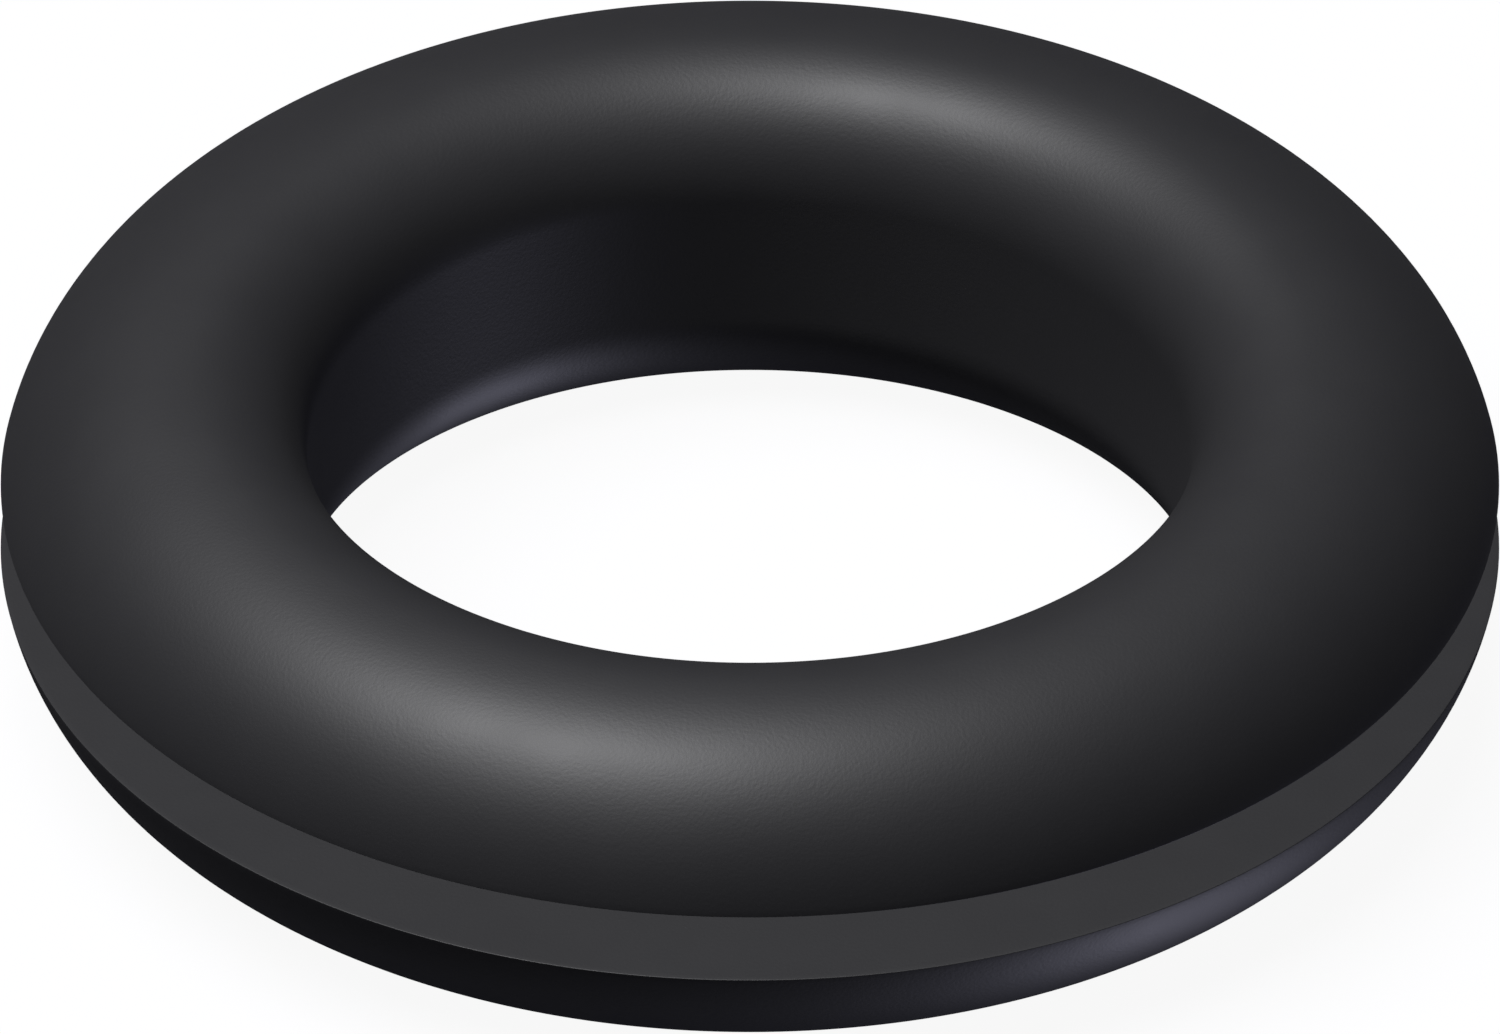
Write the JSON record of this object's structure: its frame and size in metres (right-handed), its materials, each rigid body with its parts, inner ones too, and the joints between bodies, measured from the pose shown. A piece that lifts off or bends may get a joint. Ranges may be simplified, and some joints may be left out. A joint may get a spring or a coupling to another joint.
{
  "type": "edge protection grommet",
  "caption": "Round rubber grommet: a closed ring with rounded flanges either side of an outer groove that grips the edge of a hole in sheet metal, and a bore with rounded mouths for a cable.",
  "frame": {"origin": "on the axis of the bore, at the middle of the groove, which is halfway between the two flanges", "axes": "+Z along the axis of the bore, square to the sheet that the groove grips; X and Y lie in the plane of the sheet, and every direction in it is alike"},
  "size_m": [0.0314, 0.0314, 0.008],
  "materials": {
    "rubber": "satin"
  },
  "bodies": {
    "root": {"grommet": "rubber"}
  },
  "joints": []
}
